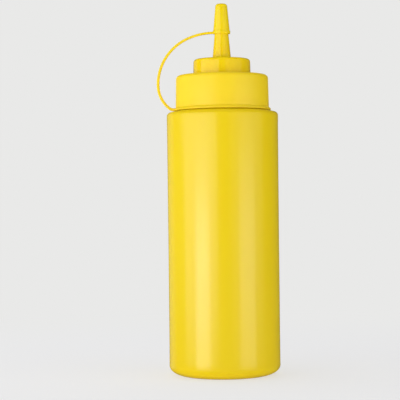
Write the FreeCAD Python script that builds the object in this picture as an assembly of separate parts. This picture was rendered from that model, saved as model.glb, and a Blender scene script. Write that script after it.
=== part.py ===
"""Condiment squeeze bottle: blow-moulded bottle, screw lid with nozzle, and tethered tip cap.

Millimetres, +Z up. The origin is on the bottle's axis, on the surface it stands on, and the
tether's strap arches out towards -X. Three moulded pieces, each written to parts/ as one solid:

    bottle  wall, rounded foot with its push-up, shoulder, and the neck under the lid
    lid     skirt over the neck, smaller tier on its deck, tapered nozzle
    tether  ring trapped between skirt and shoulder, strap, and cap on the nozzle's tip
"""
import FreeCAD, Part
import math
import os

V = FreeCAD.Vector
AXIS = V(0, 0, 1)

# bottle wall
BODY_RADIUS = 30.0           # where the wall meets the shoulder
BODY_HEIGHT = 141.11         # from the foot to where wall and shoulder would meet in a sharp corner
WAIST_DRAW = 0.18            # the wall bows in by this much halfway up
FOOT_DRAW = 0.1              # the foot is this much smaller than the wall's top

# foot
FOOT_CORNER_WIDTH = 12.0     # the foot's corner is wider than it is high
FOOT_CORNER_HEIGHT = 6.2
FOOT_RING_WIDTH = 2.6        # flat ring that the bottle stands on
PUSH_UP = 1.6                # height of the recess inside that ring
PUSH_UP_SLOPE = 3.0          # radial run of the recess's sloping side
PUSH_UP_CORNER = 1.0         # where that side meets the recess's flat
FOOT_RING_CORNER = 0.6       # where it meets the flat ring
WELD_LENGTH = 22.0           # pinched-off weld across the recess, from the mould's two halves
WELD_WIDTH = 1.2
WELD_HEIGHT = 0.5
WELD_END_FLAT = 0.1          # width left flat at its rounded ends

# shoulder
SHOULDER_WIDTH = 4.9         # from the wall's top in to the lid's skirt
SHOULDER_SLOPE = 14.0        # degrees
SHOULDER_CORNER = 2.0
LEDGE_MARGIN = 0.35          # the flat ledge round the neck ends this far inside the skirt

# lid
SKIRT_WALL = 1.7
SKIRT_HEIGHT = 17.4
SKIRT_DRAFT = 0.35           # the skirt is this much smaller at its top
SKIRT_CORNER = 2.0
SKIRT_FOOT_CORNER = 0.25
DECK = 1.8                   # thickness of the lid's top over the neck
TIER_RADIUS = 15.45
TIER_HEIGHT = 8.7
TIER_DRAFT = 0.25
TIER_CORNER = 1.6
NECK_CLEARANCE = 0.3         # between neck and skirt, where the threads turn

# nozzle
NOZZLE_RADIUS = 5.0          # at its foot
NOZZLE_LENGTH = 28.68
NOZZLE_TAPER = 0.0927        # radius lost for each millimetre of height
NOZZLE_BLEND = 1.5           # fillet where it rises from the tier
NOZZLE_TIP_CORNER = 0.4

# tether ring
RING_HEIGHT = 1.5
RING_PROUD = 1.0             # how far it stands out past the skirt
RING_BEVEL_TOP = 0.85
RING_BEVEL_FOOT = 0.45
RING_CLEARANCE = 0.35        # between ring and neck
RING_PLAY = 0.1              # between ring and skirt

# tip cap
CAP_OVERLAP = 15.0           # length of nozzle inside the cap
CAP_WALL = 0.75
CAP_CLEARANCE = 0.1
CAP_END_GAP = 0.2            # between the nozzle's tip and the inside of the cap's crown
CAP_CROWN = 1.0
CAP_CORNER = 1.6
SOCKET_CORNER = 0.4          # inside the cap, where its wall meets its crown
LIP_HEIGHT = 1.65
LIP_PROUD = 0.15
LIP_FOOT_CORNER = 0.2
LIP_TOP_CORNER = 0.3

# strap
STRAP_REACH = 8.4            # widest point of its centre line, out from the ring's rim
STRAP_RISE = 13.3            # height of that point over the ring's middle
STRAP_WIDTH = 2.4
STRAP_THICKNESS_CAP = 1.15
STRAP_THICKNESS_MIDDLE = 1.5
STRAP_EDGE = 0.35            # rounding of its long edges
STRAP_UPPER_TURN = 30.0      # degrees turned by the first of the two arcs above the widest point
STRAP_LOWER_TURN = 55.0      # the same below it
STRAP_LANDING = 0.2          # straight stretch where it runs level into the ring
STRAP_ROOT = 0.5             # how deep its ends run into the cap's wall and the ring


# ---- heights and radii that follow from the sizes above ----

SKIRT_RADIUS = BODY_RADIUS - SHOULDER_WIDTH
NECK_RADIUS = SKIRT_RADIUS - SKIRT_WALL - NECK_CLEARANCE
LEDGE_RADIUS = SKIRT_RADIUS - LEDGE_MARGIN
RING_RADIUS = SKIRT_RADIUS + RING_PROUD

LEDGE_Z = BODY_HEIGHT + (BODY_RADIUS - LEDGE_RADIUS) * math.tan(math.radians(SHOULDER_SLOPE))
RING_TOP_Z = LEDGE_Z + RING_HEIGHT
SKIRT_FOOT_Z = RING_TOP_Z + RING_PLAY
DECK_Z = SKIRT_FOOT_Z + SKIRT_HEIGHT
NECK_TOP_Z = DECK_Z - DECK
TIER_Z = DECK_Z + TIER_HEIGHT
NOZZLE_TIP_Z = TIER_Z + NOZZLE_LENGTH
CAP_FOOT_Z = NOZZLE_TIP_Z - CAP_OVERLAP
CAP_TOP_Z = NOZZLE_TIP_Z + CAP_END_GAP + CAP_CROWN


def nozzle_radius(z):
    return NOZZLE_RADIUS - NOZZLE_TAPER * (z - TIER_Z)


def cap_radius(z):
    return nozzle_radius(z) + CAP_CLEARANCE + CAP_WALL


# ---- drawing in the XZ plane ----

def at(r, z):
    return V(r, 0, z)


def outline(*corners):
    """Edges through the corners in order. A corner is (r, z), or (r, z, radius) to round it."""
    points = [at(*corner[:2]) for corner in corners]
    edges, start = [], points[0]
    for i in range(1, len(points) - 1):
        corner = points[i]
        radius = corners[i][2] if len(corners[i]) == 3 else 0
        if radius:
            back = (points[i - 1] - corner).normalize()
            ahead = (points[i + 1] - corner).normalize()
            half = back.getAngle(ahead) / 2
            run, depth = radius / math.tan(half), radius / math.sin(half) - radius
            middle = corner + (back + ahead).normalize() * depth
            edges.append(Part.LineSegment(start, corner + back * run).toShape())
            edges.append(Part.Arc(corner + back * run, middle, corner + ahead * run).toShape())
            start = corner + ahead * run
        else:
            edges.append(Part.LineSegment(start, corner).toShape())
            start = corner
    edges.append(Part.LineSegment(start, points[-1]).toShape())
    return edges


def turned(edges):
    """Solid of revolution of an outline that starts and ends on the axis, or closes on itself."""
    first, last = edges[0].Vertexes[0].Point, edges[-1].Vertexes[-1].Point
    if not first.isEqual(last, 1e-6):
        edges = edges + [Part.LineSegment(last, first).toShape()]
    return Part.Face(Part.Wire(edges)).revolve(V(0, 0, 0), AXIS, 360)


def rim_edges(solid, radius, z):
    """The circular edges of a turned solid at this radius and height."""
    return [e for e in solid.Edges if isinstance(e.Curve, Part.Circle)
            and abs(e.Curve.Radius - radius) < 0.01 and abs(e.Curve.Center.z - z) < 0.01]


# ---- bottle ----

def foot_corner(radius):
    """Quarter of an ellipse from the flat of the foot out and up to the wall."""
    centre_r = radius - FOOT_CORNER_WIDTH
    oval = Part.Ellipse(at(radius, FOOT_CORNER_HEIGHT), at(centre_r, 0), at(centre_r, FOOT_CORNER_HEIGHT))
    return Part.ArcOfEllipse(oval, 0, math.pi / 2).toShape()


def bowed(start, end, draw):
    """A line that bows in towards the axis by `draw` at its middle."""
    curve = Part.BezierCurve()
    curve.setPoles([start, (start + end) / 2 - at(2 * draw, 0), end])
    return curve.toShape()


def bottle():
    foot_radius = BODY_RADIUS - FOOT_DRAW
    flat_radius = foot_radius - FOOT_CORNER_WIDTH
    recess_radius = flat_radius - FOOT_RING_WIDTH
    foot = outline((0, PUSH_UP), (recess_radius - PUSH_UP_SLOPE, PUSH_UP, PUSH_UP_CORNER),
                   (recess_radius, 0, FOOT_RING_CORNER), (flat_radius, 0))
    wall = bowed(at(foot_radius, FOOT_CORNER_HEIGHT), at(BODY_RADIUS, BODY_HEIGHT), WAIST_DRAW)
    top = outline((BODY_RADIUS, BODY_HEIGHT), (LEDGE_RADIUS, LEDGE_Z), (NECK_RADIUS, LEDGE_Z),
                  (NECK_RADIUS, NECK_TOP_Z), (0, NECK_TOP_Z))
    body = turned(foot + [foot_corner(foot_radius), wall] + top)
    body = body.makeFillet(SHOULDER_CORNER, rim_edges(body, BODY_RADIUS, BODY_HEIGHT))
    return body.fuse(pinch_weld()).removeSplitter()


def pinch_weld():
    """Low ridge across the recess under the bottle, rooted in the bottle's floor."""
    root = WELD_HEIGHT
    block = Part.makeBox(WELD_LENGTH, WELD_WIDTH, WELD_HEIGHT + root,
                         V(-WELD_LENGTH / 2, -WELD_WIDTH / 2, PUSH_UP - WELD_HEIGHT))
    ends = [e for e in block.Edges if abs(e.Vertexes[0].Z - e.Vertexes[1].Z) > root]
    return block.makeFillet((WELD_WIDTH - WELD_END_FLAT) / 2, ends)


# ---- lid ----

def lid():
    bore = NECK_RADIUS + NECK_CLEARANCE
    return turned(outline(
        (0, NECK_TOP_Z), (bore, NECK_TOP_Z), (bore, SKIRT_FOOT_Z),
        (SKIRT_RADIUS, SKIRT_FOOT_Z, SKIRT_FOOT_CORNER),
        (SKIRT_RADIUS - SKIRT_DRAFT, DECK_Z, SKIRT_CORNER),
        (TIER_RADIUS, DECK_Z), (TIER_RADIUS - TIER_DRAFT, TIER_Z, TIER_CORNER),
        (NOZZLE_RADIUS, TIER_Z, NOZZLE_BLEND),
        (nozzle_radius(NOZZLE_TIP_Z), NOZZLE_TIP_Z, NOZZLE_TIP_CORNER), (0, NOZZLE_TIP_Z)))


# ---- tether ----

def ring():
    inner = NECK_RADIUS + RING_CLEARANCE
    return turned(outline(
        (inner, LEDGE_Z), (RING_RADIUS - RING_BEVEL_FOOT, LEDGE_Z), (RING_RADIUS, LEDGE_Z + RING_BEVEL_FOOT),
        (RING_RADIUS, RING_TOP_Z - RING_BEVEL_TOP), (RING_RADIUS - RING_BEVEL_TOP, RING_TOP_Z),
        (inner, RING_TOP_Z), (inner, LEDGE_Z)))


def cap():
    lip_top = CAP_FOOT_Z + LIP_HEIGHT
    lip_radius = cap_radius(CAP_FOOT_Z) + LIP_PROUD
    socket_top = CAP_TOP_Z - CAP_CROWN
    return turned(outline(
        (0, socket_top), (nozzle_radius(socket_top) + CAP_CLEARANCE, socket_top, SOCKET_CORNER),
        (nozzle_radius(CAP_FOOT_Z) + CAP_CLEARANCE, CAP_FOOT_Z),
        (lip_radius, CAP_FOOT_Z, LIP_FOOT_CORNER), (lip_radius, lip_top, LIP_TOP_CORNER),
        (cap_radius(lip_top), lip_top),
        (cap_radius(CAP_TOP_Z), CAP_TOP_Z, CAP_CORNER), (0, CAP_TOP_Z)))


def quarter_turn(start, end, leaves_level, turn):
    """Two tangent arcs of the XZ plane that turn from level to upright, or from upright to level.

    The first arc turns by `turn` degrees and the second by the rest of the quarter.
    """
    level, upright = at(math.copysign(1, end.x - start.x), 0), at(0, math.copysign(1, end.z - start.z))
    ahead, aside = (level, upright) if leaves_level else (upright, level)
    length, width = (end - start).dot(ahead), (end - start).dot(aside)
    sine, cosine = math.sin(math.radians(turn)), math.cos(math.radians(turn))
    share = sine * cosine - (1 - sine) * (1 - cosine)
    first = (length * cosine - width * (1 - sine)) / share
    second = (width * sine - length * (1 - cosine)) / share

    def on_arc(centre, radius, degrees):
        angle = math.radians(degrees)
        return centre + ahead * (radius * math.sin(angle)) - aside * (radius * math.cos(angle))

    first_centre, second_centre = start + aside * first, end - ahead * second
    joint = on_arc(first_centre, first, turn)
    return [Part.Arc(start, on_arc(first_centre, first, turn / 2), joint).toShape(),
            Part.Arc(joint, on_arc(second_centre, second, (turn + 90) / 2), end).toShape()]


def strap():
    """Flat strip that arches from the foot of the cap's lip to the ring, thicker towards the ring."""
    cap_z = CAP_FOOT_Z + STRAP_THICKNESS_CAP / 2
    cap_x = -(cap_radius(cap_z) - STRAP_ROOT)
    ring_z = LEDGE_Z + RING_HEIGHT / 2
    ring_x = -(SKIRT_RADIUS - STRAP_ROOT)
    wide_x, wide_z = -(RING_RADIUS + STRAP_REACH), ring_z + STRAP_RISE

    def side(out):
        """One side of the strip, half its thickness away from its middle: out is 1 or -1."""
        top = at(cap_x, cap_z + out * STRAP_THICKNESS_CAP / 2)
        wide = at(wide_x - out * STRAP_THICKNESS_MIDDLE / 2, wide_z)
        foot = at(-RING_RADIUS - STRAP_LANDING, ring_z - out * RING_HEIGHT / 2)
        landing = Part.LineSegment(foot, at(ring_x, foot.z)).toShape()
        return (quarter_turn(top, wide, True, STRAP_UPPER_TURN)
                + quarter_turn(wide, foot, False, STRAP_LOWER_TURN) + [landing])

    outer, inner = side(1), side(-1)
    root = Part.LineSegment(outer[-1].Vertexes[-1].Point, inner[-1].Vertexes[-1].Point).toShape()
    tip = Part.LineSegment(inner[0].Vertexes[0].Point, outer[0].Vertexes[0].Point).toShape()
    face = Part.Face(Part.Wire(outer + [root] + inner[::-1] + [tip]))
    face.translate(V(0, -STRAP_WIDTH / 2, 0))
    strip = face.extrude(V(0, STRAP_WIDTH, 0))
    return strip.makeFillet(STRAP_EDGE, [e for e in strip.Edges if isinstance(e.Curve, Part.Circle)])


def tether():
    return ring().fuse([cap(), strap()]).removeSplitter()


# ---- write the pieces ----

os.makedirs("parts", exist_ok=True)
for name, shape in (("bottle", bottle()), ("lid", lid()), ("tether", tether())):
    solids = shape.Solids
    print(name, "solids", len(solids), "valid", shape.isValid(), "volume", round(shape.Volume, 1),
          "box", shape.BoundBox)
    solids[0].exportStep("parts/" + name + ".step")
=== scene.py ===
"""Finish, studio and camera for the condiment squeeze bottle, laid out as a Blender add-on."""
import math

import bmesh
import bpy
from bpy.props import FloatProperty, PointerProperty, StringProperty
from mathutils import Matrix, Vector


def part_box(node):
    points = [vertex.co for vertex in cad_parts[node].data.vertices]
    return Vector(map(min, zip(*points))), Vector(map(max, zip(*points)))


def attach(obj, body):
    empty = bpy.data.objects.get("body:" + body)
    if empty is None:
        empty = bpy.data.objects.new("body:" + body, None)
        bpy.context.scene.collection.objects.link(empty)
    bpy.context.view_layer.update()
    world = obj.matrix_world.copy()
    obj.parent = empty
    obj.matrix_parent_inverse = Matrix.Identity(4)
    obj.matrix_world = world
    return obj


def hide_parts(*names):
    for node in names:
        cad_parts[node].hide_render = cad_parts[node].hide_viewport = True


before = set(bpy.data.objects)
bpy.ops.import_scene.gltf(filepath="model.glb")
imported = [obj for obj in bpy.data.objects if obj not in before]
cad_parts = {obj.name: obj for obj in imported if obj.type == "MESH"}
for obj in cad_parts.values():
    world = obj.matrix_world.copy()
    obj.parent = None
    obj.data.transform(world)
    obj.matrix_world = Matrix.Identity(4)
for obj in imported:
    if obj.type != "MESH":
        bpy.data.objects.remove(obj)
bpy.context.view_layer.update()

bl_info = {
    "name": "Squeeze Bottle Finish",
    "version": (1, 0, 0),
    "blender": (4, 5, 0),
    "location": "View3D > Sidebar > Squeeze Bottle",
    "description": "Models a yellow squeeze bottle with its lid and tethered cap in a pale studio",
    "category": "Object",
}

MM = 0.001
QUARTER = math.radians(90)
SAME = 0.005 * MM                 # two places this close are the same
SMOOTH_BELOW = math.radians(38)   # a sharper edge stays crisp

SIDES = 128                       # facets round every turned piece
WALL_RINGS = 44                   # rings of facets up the bottle's wall
FOOT_RINGS = 10                   # round its foot's corner
NOZZLE_RINGS = 8                  # up the nozzle
STRAP_STEPS = 18                  # along each half of the strap


def corners(node):
    """Lowest and highest corner of a CAD node."""
    low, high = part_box(node)
    return Vector(low), Vector(high)


BOTTLE_HIGH = corners("bottle")[1]
LID_LOW, LID_HIGH = corners("lid")
TETHER_LOW, TETHER_HIGH = corners("tether")


# ---- sizes and colours a user would change ----

def length(name, millimetres, description):
    return FloatProperty(name=name, description=description, default=millimetres * MM, min=0, max=1,
                         precision=5, subtype="DISTANCE", unit="LENGTH")


def angle(name, degrees, description):
    return FloatProperty(name=name, description=description, default=math.radians(degrees),
                         subtype="ANGLE", unit="ROTATION")


def colour(name, hex_code, description):
    return StringProperty(name=name, description=description + ", as an sRGB hex code", default=hex_code)


class BottleSizes(bpy.types.PropertyGroup):
    """Blow-moulded bottle"""
    waist_draw: length("Waist draw", 0.1, "How far the wall bows in halfway up")
    foot_draw: length("Foot draw", 0.1, "How much smaller the wall is at its foot")
    foot_width: length("Foot corner width", 10.0, "Radial width of the rounded foot corner")
    foot_height: length("Foot corner height", 5.4, "Height of the rounded foot corner")
    ring_width: length("Foot ring width", 2.6, "Width of the flat ring the bottle stands on")
    ring_round: length("Foot ring rounding", 0.5, "Rounding of that ring's inner edge")
    push_up: length("Push-up", 1.6, "Height of the recess under the bottle")
    push_up_slope: length("Push-up slope", 3.0, "Radial run of the recess's side")
    push_up_round: length("Push-up rounding", 0.8, "Rounding where that side meets the recess's flat")
    weld_length: length("Weld length", 22.0, "Length of the pinched weld under the bottle")
    weld_width: length("Weld width", 1.2, "Width of the pinched weld")
    weld_height: length("Weld height", 0.5, "Height of the pinched weld")
    shoulder_rise: length("Shoulder rise", 1.31, "Height gained over the sloping shoulder")
    ledge_margin: length("Ledge margin", 0.35, "How far inside the lid the flat ledge ends")
    shoulder_round: length("Shoulder rounding", 1.56, "Run of the rounding over the top of the wall")
    neck_radius: length("Neck radius", 23.1, "Radius of the neck inside the lid")
    seam_width: length("Seam width", 0.5, "Width of the mould's parting line up each side")
    seam_height: length("Seam height", 0.04, "How far the parting line stands out")
    seam_start: length("Seam start", 3.0, "How far outside the neck the parting line begins")
    unevenness: length("Unevenness", 0.1, "Depth of the slow waves in the blown wall")
    wave: length("Wave", 38.0, "Width of one wave in the blown wall")
    wave_margin: length("Wave margin", 4.0, "Height at either end of the wall that stays even")
    light_hex: colour("Light tone", "#EED10D", "Where the wall is thick")
    deep_hex: colour("Deep tone", "#EBCD08", "Where the wall is thin")


class LidSizes(bpy.types.PropertyGroup):
    """Injection-moulded screw lid"""
    wall: length("Skirt wall", 1.7, "Thickness of the skirt")
    skirt_height: length("Skirt height", 17.4, "Height of the skirt")
    skirt_draft: length("Skirt draft", 0.35, "How much smaller the skirt is at its top")
    skirt_round: length("Skirt rounding", 2.0, "Rounding over the top of the skirt")
    foot_round: length("Skirt foot rounding", 0.12, "Rounding at the foot of the skirt")
    tier_radius: length("Tier radius", 15.45, "Radius of the smaller tier")
    tier_height: length("Tier height", 8.7, "Height of the smaller tier")
    tier_draft: length("Tier draft", 0.25, "How much smaller the tier is at its top")
    tier_round: length("Tier rounding", 1.6, "Rounding over the top of the tier")
    tier_foot_round: length("Tier foot rounding", 0.3, "Hollow rounding where the tier meets the deck")
    nozzle_radius: length("Nozzle radius", 5.0, "Radius at the foot of the nozzle")
    nozzle_tip_radius: length("Nozzle tip radius", 2.34, "Radius at the tip of the nozzle")
    nozzle_blend: length("Nozzle blend", 1.5, "Hollow rounding where the nozzle rises")
    polished_within: length("Polished within", 17.0, "Distance from the axis within which it is glossy")
    mark_depth: length("Draw mark depth", 0.01, "Depth of the marks from leaving the tool")
    light_hex: colour("Light tone", "#FADA10", "Main tone")
    deep_hex: colour("Deep tone", "#F8D60C", "Second tone")


class TetherSizes(bpy.types.PropertyGroup):
    """Ring, strap and tip cap in one moulding"""
    ring_height: length("Ring height", 1.58, "Height of the ring under the lid")
    ring_bore: length("Ring bore", 23.45, "Inner radius of the ring")
    bevel_top: length("Ring top bevel", 0.85, "Slope over the ring's rim")
    bevel_foot: length("Ring foot bevel", 0.25, "Slope under the ring's rim")
    overlap: length("Cap overlap", 15.0, "Length of nozzle inside the cap")
    cap_wall: length("Cap wall", 0.75, "Thickness of the cap's wall")
    cap_clearance: length("Cap clearance", 0.1, "Between the nozzle and the cap")
    crown: length("Cap crown", 1.0, "Thickness of the cap's top")
    crown_round: length("Crown rounding", 1.35, "Rounding over the cap's top")
    gate_radius: length("Gate radius", 0.8, "Dimple left by the mould's gate on the cap's top")
    gate_depth: length("Gate depth", 0.15, "Depth of that dimple")
    lip_height: length("Lip height", 1.65, "Height of the band at the cap's foot")
    lip_proud: length("Lip proud", 0.15, "How far that band stands out")
    lip_round: length("Lip rounding", 0.2, "Rounding of that band")
    strap_width: length("Strap width", 2.4, "Width of the strap")
    strap_thin: length("Strap at the cap", 1.15, "Thickness where it leaves the cap")
    strap_thick: length("Strap at its widest", 1.5, "Thickness at its widest point and beyond")
    strap_edge: length("Strap edge", 0.35, "Rounding of the strap's long edges")
    strap_rise: length("Strap rise", 13.3, "Height of its widest point over the ring's middle")
    strap_root: length("Strap root", 0.5, "How deep the strap starts in the cap's band")
    strap_lift: length("Strap lift", 0.05, "Height of its underside over the cap's foot")
    strap_landing: length("Strap landing", 0.2, "How far outside the ring it comes level")
    strap_anchor: length("Strap anchor", 2.5, "How far it runs on from there into the ring")
    strap_margin: length("Strap margin", 0.1, "How much thinner than the ring it ends")
    upper_turn: angle("Upper turn", 25, "Turn of the wide arc above the strap's widest point")
    lower_turn: angle("Lower turn", 50, "Turn of the wide arc below it")
    polished_within: length("Polished within", 10.0, "Distance from the axis within which it is glossy")
    mark_depth: length("Draw mark depth", 0.002, "Depth of the marks from leaving the tool")
    light_hex: colour("Light tone", "#FBDC12", "Main tone")
    deep_hex: colour("Deep tone", "#F9D80E", "Second tone")


class StageSizes(bpy.types.PropertyGroup):
    """Table, lamps and camera"""
    table_radius: length("Table radius", 500, "Radius of the pale round table")
    lens: FloatProperty(name="Lens", description="Focal length", default=130.4, unit="CAMERA")
    distance: length("Camera distance", 781, "From the bottle's axis")
    eye: length("Eye height", 94.4, "Height of the camera over the table")
    aside: length("Camera aside", 12.55, "How far the camera stands to the left of the bottle's axis")
    roll: angle("Roll", 0.62, "Lean of the camera")
    backdrop_hex: colour("Backdrop", "#E9E9E8", "Pale grey backdrop, and the table far from the bottle")
    room_hex: colour("Room", "#FFF6EA", "Warm room that lights the bottle from all round")
    table_hex: colour("Table", "#EDEDEC", "The table as the bottle sees it")
    shade_hex: colour("Shaded table", "#96979D", "Table's share of lamp light, which a shadow takes away")


# ---- colour and node helpers ----

def linear(hex_colour):
    """sRGB hex to linear RGBA."""
    def channel(value):
        return value / 12.92 if value <= 0.04045 else ((value + 0.055) / 1.055) ** 2.4

    parts = [int(hex_colour[i:i + 2], 16) / 255 for i in (1, 3, 5)]
    return (*map(channel, parts), 1.0)


def add_node(tree, kind, inputs=None, **settings):
    """Adds one node: an input is a value or another node's output, and settings name its properties."""
    node = tree.nodes.new(kind)
    for key, value in settings.items():
        setattr(node, key, value)
    for key, value in (inputs or {}).items():
        if isinstance(value, bpy.types.NodeSocket):
            tree.links.new(value, node.inputs[key])
        else:
            node.inputs[key].default_value = value
    return node


def new_material(name):
    material = bpy.data.materials.new(name)
    material.use_nodes = True
    material.node_tree.nodes.clear()
    return material, material.node_tree


def grain(millimetres):
    """Noise scale that gives features of this size on Object coordinates in metres."""
    return 1 / (millimetres * MM)


# ---- mesh helpers, each working on the piece in hand ----

def begin(kind, name, **settings):
    """Adds a primitive with nothing else selected, puts its place in its mesh, and opens it to edit."""
    bpy.ops.object.select_all(action="DESELECT")
    kind(**settings)
    piece = bpy.context.active_object
    piece.name = piece.data.name = name
    bpy.ops.object.transform_apply(location=True, rotation=True, scale=True)
    bpy.ops.object.mode_set(mode="EDIT")
    bpy.ops.mesh.select_all(action="SELECT")
    return piece


def draw_out(profile, radius, height):
    """Extrudes the selected ring through (radius, height) stations; a radius of 0 closes it in a pole."""
    for next_radius, next_height in profile:
        bpy.ops.mesh.extrude_region_move(TRANSFORM_OT_translate={"value": (0, 0, next_height - height)})
        if next_radius:
            share = next_radius / radius
            bpy.ops.transform.resize(value=(share, share, 1), center_override=(0, 0, next_height))
        else:
            bpy.ops.mesh.merge(type="CENTER")
        radius, height = next_radius, next_height


def turned(name, profile, closed=False):
    """Turns a profile of (radius, height) stations about the axis.

    It starts as a disc and ends in a pole, or where it is closed it starts as a ring and comes back to it.
    """
    (radius, height), *rest = profile
    piece = begin(bpy.ops.mesh.primitive_circle_add, name, vertices=SIDES, radius=radius,
                  fill_type="NOTHING" if closed else "TRIFAN", location=(0, 0, height))
    if not closed:
        bpy.ops.mesh.region_to_loop()
    draw_out(rest + [profile[0]] if closed else rest, radius, height)
    bpy.ops.mesh.select_all(action="SELECT")
    bpy.ops.mesh.remove_doubles(threshold=SAME)
    bpy.ops.mesh.normals_make_consistent(inside=False)
    return piece


def select_edges(piece, wanted):
    """Selects the edges whose two ends pass the test together."""
    bpy.ops.mesh.select_mode(type="EDGE")
    bpy.ops.mesh.select_all(action="DESELECT")
    mesh = bmesh.from_edit_mesh(piece.data)
    for edge in mesh.edges:
        edge.select_set(wanted(*(v.co for v in edge.verts)))
    bmesh.update_edit_mesh(piece.data)


def round_ring(piece, radius, height, run, segments):
    """Bevels the ring of edges at this radius and height."""
    def on_ring(*ends):
        return all(abs(math.hypot(co.x, co.y) - radius) < SAME and abs(co.z - height) < SAME for co in ends)

    select_edges(piece, on_ring)
    bpy.ops.mesh.bevel(offset=run, segments=segments, profile=0.5, affect="EDGES")


def apply_modifier(piece, kind, **settings):
    modifier = piece.modifiers.new(kind.lower(), kind)
    for key, value in settings.items():
        setattr(modifier, key, value)
    bpy.context.view_layer.objects.active = piece
    bpy.ops.object.modifier_apply(modifier=modifier.name)


def unite(piece, others):
    """Joins closed pieces into one skin."""
    for other in others:
        apply_modifier(piece, "BOOLEAN", operation="UNION", solver="EXACT", object=other)
        bpy.data.objects.remove(other)


def complete(piece, node, material):
    """Smooths a piece, gives it its finish and lets it stand for its CAD node."""
    bpy.ops.object.select_all(action="DESELECT")
    piece.select_set(True)
    bpy.context.view_layer.objects.active = piece
    bpy.ops.object.shade_smooth_by_angle(angle=SMOOTH_BELOW)
    piece.data.materials.clear()
    piece.data.materials.append(material)
    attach(piece, "root")
    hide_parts(node)


# ---- finishes ----

# low-density polyethylene itself: light goes a little way in and comes out warmer
POLYETHYLENE = {"IOR": 1.51, "Subsurface Weight": 0.2, "Subsurface Radius": (1.0, 0.7, 0.1),
                "Subsurface Scale": 1.5 * MM}

# roughness, as least and most where it varies
BLASTED = (0.18, 0.27)          # from the sandblasted mould
POLISHED, SPARKED = 0.06, 0.45  # from the tool where it is polished, and where it is spark-eroded
MARK_ROUGHNESS = 0.06           # added by the draw marks


def blown_polyethylene(size):
    """Low-density polyethylene, blow-moulded in a sandblasted mould.

    Satin and coloured through: broad soft highlights that waver a little where the blown wall is
    uneven, and a tone that drifts slightly between thick and thin wall.
    """
    material, tree = new_material("blown_ldpe")
    place = add_node(tree, "ShaderNodeTexCoord").outputs["Object"]
    # wall thickness drifts over about 35 mm
    drift = add_node(tree, "ShaderNodeTexNoise", {"Vector": place, "Scale": grain(35), "Detail": 2.0})
    tone = add_node(tree, "ShaderNodeMix", {"Factor": drift.outputs["Fac"], "A": linear(size.deep_hex),
                                            "B": linear(size.light_hex)}, data_type="RGBA")
    # sandblast grain is about 0.1 mm wide on the real mould, drawn 0.6 mm wide so that it shows
    blast = add_node(tree, "ShaderNodeTexNoise", {"Vector": place, "Scale": grain(0.6), "Detail": 4.0,
                                                  "Roughness": 0.6})
    skin = add_node(tree, "ShaderNodeBump", {"Height": blast.outputs["Fac"], "Strength": 0.06,
                                             "Distance": 0.1 * MM})
    gloss = add_node(tree, "ShaderNodeMapRange", {"Value": blast.outputs["Fac"], "To Min": BLASTED[0],
                                                  "To Max": BLASTED[1]})
    shader = add_node(tree, "ShaderNodeBsdfPrincipled",
                      {"Base Color": tone.outputs["Result"], "Roughness": gloss.outputs["Result"],
                       "Normal": skin.outputs["Normal"], **POLYETHYLENE})
    add_node(tree, "ShaderNodeOutputMaterial", {"Surface": shader.outputs["BSDF"]})
    return material


def moulded_polyethylene(name, size):
    """Low-density polyethylene, injection-moulded.

    Glossy where the tool is polished, near the axis, and satin further out where it is left from
    the spark erosion, with faint marks from leaving the tool drawn out upright.
    """
    material, tree = new_material(name)
    place = add_node(tree, "ShaderNodeTexCoord").outputs["Object"]
    # the tone changes over about 12 mm
    drift = add_node(tree, "ShaderNodeTexNoise", {"Vector": place, "Scale": grain(12), "Detail": 2.0})
    tone = add_node(tree, "ShaderNodeMix", {"Factor": drift.outputs["Fac"], "A": linear(size.deep_hex),
                                            "B": linear(size.light_hex)}, data_type="RGBA")
    # draw marks are about 0.05 mm apart, drawn at 0.5 mm so that they show, and 20 times as long
    upright = add_node(tree, "ShaderNodeMapping", {"Vector": place, "Scale": (1, 1, 0.05)})
    marks = add_node(tree, "ShaderNodeTexNoise", {"Vector": upright.outputs["Vector"],
                                                  "Scale": grain(0.5), "Detail": 3.0})
    skin = add_node(tree, "ShaderNodeBump", {"Height": marks.outputs["Fac"], "Distance": size.mark_depth})
    # the polish ends over 1 mm at its distance from the axis
    level = add_node(tree, "ShaderNodeMapping", {"Vector": place, "Scale": (1, 1, 0)})
    out = add_node(tree, "ShaderNodeVectorMath", {0: level.outputs["Vector"]}, operation="LENGTH")
    dull = add_node(tree, "ShaderNodeMapRange",
                    {"Value": out.outputs["Value"], "From Min": size.polished_within,
                     "From Max": size.polished_within + 1 * MM, "To Min": POLISHED, "To Max": SPARKED})
    gloss = add_node(tree, "ShaderNodeMath", {0: marks.outputs["Fac"], 1: MARK_ROUGHNESS,
                                              2: dull.outputs["Result"]}, operation="MULTIPLY_ADD")
    shader = add_node(tree, "ShaderNodeBsdfPrincipled",
                      {"Base Color": tone.outputs["Result"], "Roughness": gloss.outputs[0],
                       "Normal": skin.outputs["Normal"], **POLYETHYLENE})
    add_node(tree, "ShaderNodeOutputMaterial", {"Surface": shader.outputs["BSDF"]})
    return material


# ---- pieces ----

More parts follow.
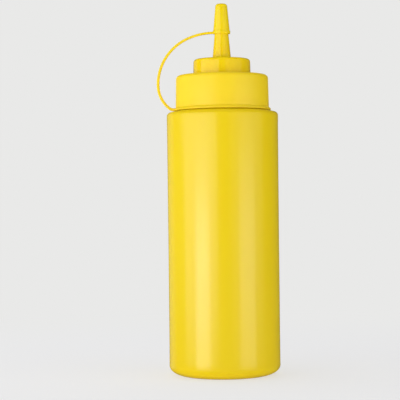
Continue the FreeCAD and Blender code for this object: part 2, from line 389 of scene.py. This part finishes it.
class MakeBottle(bpy.types.Operator):
    """Models the blow-moulded bottle with its foot, push-up, weld, parting line, shoulder and neck"""
    bl_idname = "squeeze_bottle.bottle"
    bl_label = "Bottle"

    def execute(self, context):
        size = context.scene.squeeze_bottle
        top_radius = BOTTLE_HIGH.x - size.seam_height
        foot_radius = top_radius - size.foot_draw
        recess_radius = foot_radius - size.foot_width - size.ring_width
        flat_radius = recess_radius - size.push_up_slope
        ledge, rim = TETHER_LOW.z, BOTTLE_HIGH.z
        wall_top = ledge - size.shoulder_rise

        def wall_radius(share):
            """At a share of the wall's height: its draft, and a bow that is full halfway up."""
            return foot_radius + size.foot_draw * share - 4 * size.waist_draw * share * (1 - share)

        recess = [(flat_radius, size.push_up), (recess_radius, 0)]
        foot = [(foot_radius - size.foot_width * (1 - math.sin(a)), size.foot_height * (1 - math.cos(a)))
                for a in (QUARTER * i / FOOT_RINGS for i in range(FOOT_RINGS + 1))]
        wall = [(wall_radius(share), size.foot_height + (wall_top - size.foot_height) * share)
                for share in (i / WALL_RINGS for i in range(1, WALL_RINGS + 1))]
        neck = [(LID_HIGH.x - size.ledge_margin, ledge), (size.neck_radius, ledge), (size.neck_radius, rim),
                (0, rim)]
        piece = turned("blown_bottle", recess + foot + wall + neck)
        round_ring(piece, flat_radius, size.push_up, size.push_up_round, segments=3)
        round_ring(piece, recess_radius, 0, size.ring_round, segments=3)
        round_ring(piece, top_radius, wall_top, size.shoulder_round, segments=6)
        self.raise_seam(piece, size)
        bpy.ops.object.mode_set(mode="OBJECT")
        self.uneven(piece, size, wall_top)
        unite(piece, [self.weld(size)])
        complete(piece, "bottle", blown_polyethylene(size))
        return {"FINISHED"}

    def raise_seam(self, piece, size):
        """Narrow raised line up both sides, where the mould's halves meet."""
        inner_end = size.neck_radius + size.seam_start

        def on_seam(*ends):
            return all(abs(co.y) < SAME and abs(co.x) > inner_end for co in ends)

        select_edges(piece, on_seam)
        bpy.ops.mesh.bevel(offset=size.seam_width / 2, segments=2, affect="EDGES")
        select_edges(piece, on_seam)
        share = 1 + size.seam_height / BOTTLE_HIGH.x
        bpy.ops.transform.resize(value=(share, 1, 1), center_override=(0, 0, 0))

    def uneven(self, piece, size, wall_top):
        """Slow shallow waves in the wall, three quarters of their depth inwards."""
        group = piece.vertex_groups.new(name="wall")
        low, high = size.foot_height + size.wave_margin, wall_top - size.wave_margin
        group.add([v.index for v in piece.data.vertices if low < v.co.z < high], 1.0, "REPLACE")
        waves = bpy.data.textures.new("blown_wall_waves", "CLOUDS")
        waves.noise_scale = size.wave
        waves.noise_depth = 1
        apply_modifier(piece, "DISPLACE", texture=waves, vertex_group="wall", strength=size.unevenness,
                       mid_level=0.75, texture_coords="LOCAL")
        piece.vertex_groups.clear()

    def weld(self, size):
        """Pinched weld across the push-up, with nearly round ends."""
        weld = begin(bpy.ops.mesh.primitive_cube_add, "weld", size=1, location=(0, 0, size.push_up),
                     scale=(size.weld_length, size.weld_width, 2 * size.weld_height))
        select_edges(weld, lambda end, other: abs(end.z - other.z) > size.weld_height)
        nearly_half = 0.45
        bpy.ops.mesh.bevel(offset=nearly_half * size.weld_width, segments=5, affect="EDGES")
        bpy.ops.object.mode_set(mode="OBJECT")
        return weld


class MakeLid(bpy.types.Operator):
    """Models the screw lid with its skirt, tier and nozzle"""
    bl_idname = "squeeze_bottle.lid"
    bl_label = "Lid"

    def execute(self, context):
        size = context.scene.squeeze_lid
        outer, bore = LID_HIGH.x, LID_HIGH.x - size.wall
        foot, land, tip = LID_LOW.z, BOTTLE_HIGH.z, LID_HIGH.z
        deck = foot + size.skirt_height
        tier = deck + size.tier_height
        skirt_top, tier_top = outer - size.skirt_draft, size.tier_radius - size.tier_draft
        taper = size.nozzle_tip_radius - size.nozzle_radius
        skirt = [(bore, land), (bore, foot), (outer, foot), (skirt_top, deck)]
        nozzle = [(size.nozzle_radius + taper * share, tier + (tip - tier) * share)
                  for share in (i / NOZZLE_RINGS for i in range(NOZZLE_RINGS + 1))]
        upper = [(size.tier_radius, deck), (tier_top, tier)] + nozzle + [(0, tip)]
        piece = turned("screw_lid", skirt + upper)
        round_ring(piece, outer, foot, size.foot_round, segments=3)
        round_ring(piece, skirt_top, deck, size.skirt_round, segments=8)
        round_ring(piece, size.tier_radius, deck, size.tier_foot_round, segments=3)
        round_ring(piece, tier_top, tier, size.tier_round, segments=7)
        round_ring(piece, size.nozzle_radius, tier, size.nozzle_blend, segments=6)
        bpy.ops.object.mode_set(mode="OBJECT")
        complete(piece, "lid", moulded_polyethylene("moulded_ldpe_lid", size))
        return {"FINISHED"}


class MakeTether(bpy.types.Operator):
    """Models the ring under the lid, the strap and the cap on the nozzle's tip"""
    bl_idname = "squeeze_bottle.tether"
    bl_label = "Tether"

    def execute(self, context):
        size, lid = context.scene.squeeze_tether, context.scene.squeeze_lid
        cap, lip_radius, cap_foot = self.cap(size, lid)
        ring = self.ring(size)
        piece = self.strap(size, lip_radius, cap_foot)
        unite(piece, [ring, cap])
        piece.name = piece.data.name = "cap_tether"
        complete(piece, "tether", moulded_polyethylene("moulded_ldpe_tether", size))
        return {"FINISHED"}

    def ring(self, size):
        """Flat ring with a sloped rim, on the shoulder's ledge."""
        rim, foot, top = TETHER_HIGH.x, TETHER_LOW.z, TETHER_LOW.z + size.ring_height
        ring = turned("ring", [
            (size.ring_bore, foot), (rim - size.bevel_foot, foot), (rim, foot + size.bevel_foot),
            (rim, top - size.bevel_top), (rim - size.bevel_top, top), (size.ring_bore, top)], closed=True)
        bpy.ops.object.mode_set(mode="OBJECT")
        return ring

    def cap(self, size, lid):
        """Hollow cap whose band is at its foot, with the gate's dimple in its crown."""
        tier = LID_LOW.z + lid.skirt_height + lid.tier_height
        taper = (lid.nozzle_radius - lid.nozzle_tip_radius) / (LID_HIGH.z - tier)
        foot, top = LID_HIGH.z - size.overlap, TETHER_HIGH.z
        lip_top, socket = foot + size.lip_height, top - size.crown

        def bore(z):
            return lid.nozzle_radius - taper * (z - tier) + size.cap_clearance

        def skin(z):
            return bore(z) + size.cap_wall

        lip_radius = skin(foot) + size.lip_proud
        # the dimple and the stub sheared off in its middle, as shares of its radius and depth
        gate = [(size.gate_radius * out, top - size.gate_depth * down)
                for out, down in ((1, 0), (0.75, 1), (0.3, 1), (0.2, 0.4), (0, 0.4))]
        cap = turned("cap", [
            (bore(socket), socket), (bore(foot), foot), (lip_radius, foot), (lip_radius, lip_top),
            (skin(lip_top), lip_top), (skin(top), top)] + gate)
        round_ring(cap, lip_radius, foot, size.lip_round, segments=3)
        round_ring(cap, lip_radius, lip_top, size.lip_round, segments=3)
        round_ring(cap, skin(top), top, size.crown_round, segments=6)
        bpy.ops.object.mode_set(mode="OBJECT")
        return cap, lip_radius, foot

    def strap(self, size, lip_radius, cap_foot):
        """Flat strip drawn out along two pairs of tangent arcs, from in the cap's band to in the ring."""
        start = Vector((size.strap_root - lip_radius, 0,
                        cap_foot + size.strap_thin / 2 + size.strap_lift))
        middle = TETHER_LOW.z + size.ring_height / 2
        widest = Vector((TETHER_LOW.x + size.strap_thick / 2, 0, middle + size.strap_rise))
        end = Vector((-TETHER_HIGH.x - size.strap_landing, 0, middle))
        path = quarter_turn(start, widest, leaves_level=True, turn=size.upper_turn)
        path += quarter_turn(widest, end, leaves_level=False, turn=size.lower_turn)[1:]
        path.append((end + Vector((size.strap_anchor, 0, 0)), 2 * QUARTER))
        strap = begin(bpy.ops.mesh.primitive_plane_add, "strap", size=1, location=start,
                      rotation=(0, -QUARTER, 0))
        bpy.ops.transform.resize(value=(1, size.strap_width, size.strap_thin), center_override=start)
        bpy.ops.mesh.bevel(offset=size.strap_edge, segments=3, affect="VERTICES")
        # it thickens evenly up to its widest point, and its last station fits inside the ring
        growth, last = size.strap_thick - size.strap_thin, len(path) - 1
        thicknesses = [size.strap_thin + growth * min(1, i / (len(path) / 2)) for i in range(last)]
        thicknesses.append(size.ring_height - size.strap_margin)
        for i in range(last):
            (place, heading), (next_place, next_heading) = path[i:i + 2]
            share = thicknesses[i + 1] / thicknesses[i]
            bpy.ops.mesh.extrude_region_move(TRANSFORM_OT_translate={"value": next_place - place})
            bpy.ops.transform.rotate(value=next_heading - heading, orient_axis="Y",
                                     center_override=next_place)
            bpy.ops.transform.resize(value=(share, 1, share), center_override=next_place)
        bpy.ops.object.mode_set(mode="OBJECT")
        return strap


def quarter_turn(start, end, leaves_level, turn):
    """Points and headings along two tangent arcs in the XZ plane, from level to upright or back.

    The first arc turns by `turn` and the second by the rest of the quarter.
    """
    level = Vector((math.copysign(1, end.x - start.x), 0, 0))
    upright = Vector((0, 0, math.copysign(1, end.z - start.z)))
    ahead, aside = (level, upright) if leaves_level else (upright, level)
    run, width = (end - start).dot(ahead), (end - start).dot(aside)
    # radii of the arcs that meet tangent at that turn
    sine, cosine = math.sin(turn), math.cos(turn)
    share = sine * cosine - (1 - sine) * (1 - cosine)
    first = (run * cosine - width * (1 - sine)) / share
    second = (width * sine - run * (1 - cosine)) / share
    first_centre, second_centre = start + aside * first, end - ahead * second
    points = []
    for i in range(STRAP_STEPS + 1):
        turned_by = QUARTER * i / STRAP_STEPS
        centre, radius = (first_centre, first) if turned_by <= turn else (second_centre, second)
        point = centre + ahead * (radius * math.sin(turned_by)) - aside * (radius * math.cos(turned_by))
        points.append((point, turned_by if leaves_level else QUARTER + turned_by))
    return points


# ---- stage ----

# softboxes that show as highlights: name, azimuth in degrees, height in m, width and height of the
# lamp in m, radiance
SOFTBOX_DISTANCE = 0.74
SOFTBOXES = (("key_core", -45, -0.03, (0.40, 0.24), 3.9),
             ("key_strip", -50, 0.06, (1.1, 0.26), 1.65),
             ("key_high", -55, 0.375, (1.28, 0.40), 1.15),
             ("fill_core", 48, -0.01, (0.46, 0.26), 1.85),
             ("fill_strip", 50, 0.06, (1.1, 0.26), 0.4),
             ("fill_high", 50, 0.375, (1.1, 0.40), 0.4),
             ("rim_softbox", -140, 0.10, (0.5, 0.6), 0.25))

# fills that light the bottle and don't show in its gloss: name, azimuth in degrees, radiance
FILL_DISTANCE, FILL_HEIGHT, FILL_SIZE = 0.9, 0.10, (0.9, 0.8)
FILLS = (("left_fill", -115, 1.65), ("right_fill", 60, 0.85), ("front_fill", 0, 0.45),
         ("back_fill", 180, 1.5))
TOP_FILL_HEIGHT, TOP_FILL_SIZE, TOP_FILL_RADIANCE = 1.1, (1.6, 1.6), 0.85

ROOM_LIGHT = 0.1                  # strength of the room round the bottle
TABLE_GLOW = 0.32                 # what the table gives the bottle on top of what it reflects
TABLE_LIFT = 0.72                 # share of the backdrop's tone that the table has even in shadow
FADE_FROM, FADE_TO = 0.08, 0.42   # distances in m over which the table fades into the backdrop


class SetStage(bpy.types.Operator):
    """Sets the pale table, the lamps, the backdrop and the camera"""
    bl_idname = "squeeze_bottle.stage"
    bl_label = "Stage"

    def execute(self, context):
        scene = context.scene
        size = scene.squeeze_stage
        scene.view_settings.view_transform = "Standard"
        self.camera(scene, size)
        self.backdrop(scene, size)
        self.table(size)
        for name, azimuth, height, lamp_size, radiance in SOFTBOXES:
            self.softbox(scene, name, azimuth, SOFTBOX_DISTANCE, height, lamp_size, radiance)
        for name, azimuth, radiance in FILLS:
            fill = self.softbox(scene, name, azimuth, FILL_DISTANCE, FILL_HEIGHT, FILL_SIZE, radiance)
            fill.visible_glossy = False
        fill = self.softbox(scene, "top_fill", 0, 0, TOP_FILL_HEIGHT, TOP_FILL_SIZE, TOP_FILL_RADIANCE)
        fill.rotation_euler = (0, 0, 0)
        fill.visible_glossy = False
        return {"FINISHED"}

    def softbox(self, scene, name, azimuth, distance, height, lamp_size, radiance):
        """Soft lamp at an azimuth from the camera's side, positive to the right, facing the axis."""
        a = math.radians(azimuth)
        data = bpy.data.lights.new(name, "AREA")
        data.shape = "RECTANGLE"
        data.size, data.size_y = lamp_size
        # the watts that give this radiance over the lamp's area
        data.energy = radiance * lamp_size[0] * lamp_size[1] * math.pi
        lamp = bpy.data.objects.new(name, data)
        scene.collection.objects.link(lamp)
        lamp.location = (math.sin(a) * distance, -math.cos(a) * distance, height)
        lamp.rotation_euler = (QUARTER, 0, a)
        return lamp

    def backdrop(self, scene, size):
        """Dim warm room that lights the bottle, seen by the camera as a plain pale backdrop."""
        world = scene.world = bpy.data.worlds.new("pale_studio")
        world.use_nodes = True
        tree = world.node_tree
        tree.nodes.clear()
        path = add_node(tree, "ShaderNodeLightPath")
        room = add_node(tree, "ShaderNodeBackground", {"Color": linear(size.room_hex),
                                                       "Strength": ROOM_LIGHT})
        paper = add_node(tree, "ShaderNodeBackground", {"Color": linear(size.backdrop_hex)})
        mix = add_node(tree, "ShaderNodeMixShader", {"Fac": path.outputs["Is Camera Ray"],
                                                     1: room.outputs[0], 2: paper.outputs[0]})
        add_node(tree, "ShaderNodeOutputWorld", {"Surface": mix.outputs[0]})

    def table(self, size):
        """Round white table whose far part fades into the backdrop, and which keeps the shadow."""
        piece = begin(bpy.ops.mesh.primitive_circle_add, "table", vertices=SIDES, radius=size.table_radius,
                      fill_type="NGON")
        bpy.ops.object.mode_set(mode="OBJECT")
        piece.data.materials.append(self.table_finish(size))

    def table_finish(self, size):
        """Matt white board: it glows at the bottle, is seen as a pale surface, and isn't in its gloss."""
        material, tree = new_material("matt_white_table")
        place = add_node(tree, "ShaderNodeTexCoord").outputs["Object"]
        away = add_node(tree, "ShaderNodeVectorMath", {0: place}, operation="LENGTH")
        fade = add_node(tree, "ShaderNodeMapRange", {"Value": away.outputs["Value"], "From Min": FADE_FROM,
                                                     "From Max": FADE_TO}, interpolation_type="SMOOTHSTEP")
        path = add_node(tree, "ShaderNodeLightPath")
        white = add_node(tree, "ShaderNodeBsdfDiffuse", {"Color": linear(size.table_hex)})
        glow = add_node(tree, "ShaderNodeEmission", {"Strength": TABLE_GLOW})
        lit = add_node(tree, "ShaderNodeAddShader", {0: white.outputs[0], 1: glow.outputs[0]})
        shaded = add_node(tree, "ShaderNodeBsdfDiffuse", {"Color": linear(size.shade_hex)})
        lift = add_node(tree, "ShaderNodeEmission", {"Color": linear(size.backdrop_hex),
                                                     "Strength": TABLE_LIFT})
        near = add_node(tree, "ShaderNodeAddShader", {0: shaded.outputs[0], 1: lift.outputs[0]})
        far = add_node(tree, "ShaderNodeEmission", {"Color": linear(size.backdrop_hex)})
        seen = add_node(tree, "ShaderNodeMixShader", {"Fac": fade.outputs["Result"], 1: near.outputs[0],
                                                      2: far.outputs[0]})
        surface = add_node(tree, "ShaderNodeMixShader", {"Fac": path.outputs["Is Camera Ray"],
                                                         1: lit.outputs[0], 2: seen.outputs[0]})
        clear = add_node(tree, "ShaderNodeBsdfTransparent")
        final = add_node(tree, "ShaderNodeMixShader", {"Fac": path.outputs["Is Glossy Ray"],
                                                       1: surface.outputs[0], 2: clear.outputs[0]})
        add_node(tree, "ShaderNodeOutputMaterial", {"Surface": final.outputs[0]})
        return material

    def camera(self, scene, size):
        data = bpy.data.cameras.new("camera")
        data.lens = size.lens
        camera = bpy.data.objects.new("camera", data)
        scene.collection.objects.link(camera)
        upright = Matrix.Rotation(QUARTER, 4, "X") @ Matrix.Rotation(-size.roll, 4, "Z")
        camera.matrix_world = Matrix.Translation((-size.aside, -size.distance, size.eye)) @ upright
        scene.camera = camera


# ---- panel and registration ----

GROUPS = {"squeeze_bottle": BottleSizes, "squeeze_lid": LidSizes, "squeeze_tether": TetherSizes,
          "squeeze_stage": StageSizes}
OPERATORS = (SetStage, MakeBottle, MakeLid, MakeTether)


class SqueezeBottlePanel(bpy.types.Panel):
    """Lists the bottle's pieces and its stage"""
    bl_idname = "VIEW3D_PT_squeeze_bottle"
    bl_label = "Squeeze Bottle"
    bl_space_type = "VIEW_3D"
    bl_region_type = "UI"
    bl_category = "Squeeze Bottle"

    def draw(self, context):
        for operator in OPERATORS:
            self.layout.operator(operator.bl_idname)


CLASSES = (*GROUPS.values(), *OPERATORS, SqueezeBottlePanel)


def register():
    for cls in CLASSES:
        bpy.utils.register_class(cls)
    for name, group in GROUPS.items():
        setattr(bpy.types.Scene, name, PointerProperty(type=group))


def unregister():
    for name in GROUPS:
        delattr(bpy.types.Scene, name)
    for cls in reversed(CLASSES):
        bpy.utils.unregister_class(cls)


def main():
    register()
    for operator in (bpy.ops.squeeze_bottle.stage, bpy.ops.squeeze_bottle.bottle,
                     bpy.ops.squeeze_bottle.lid, bpy.ops.squeeze_bottle.tether):
        operator()


if __name__ == "__main__":
    main()
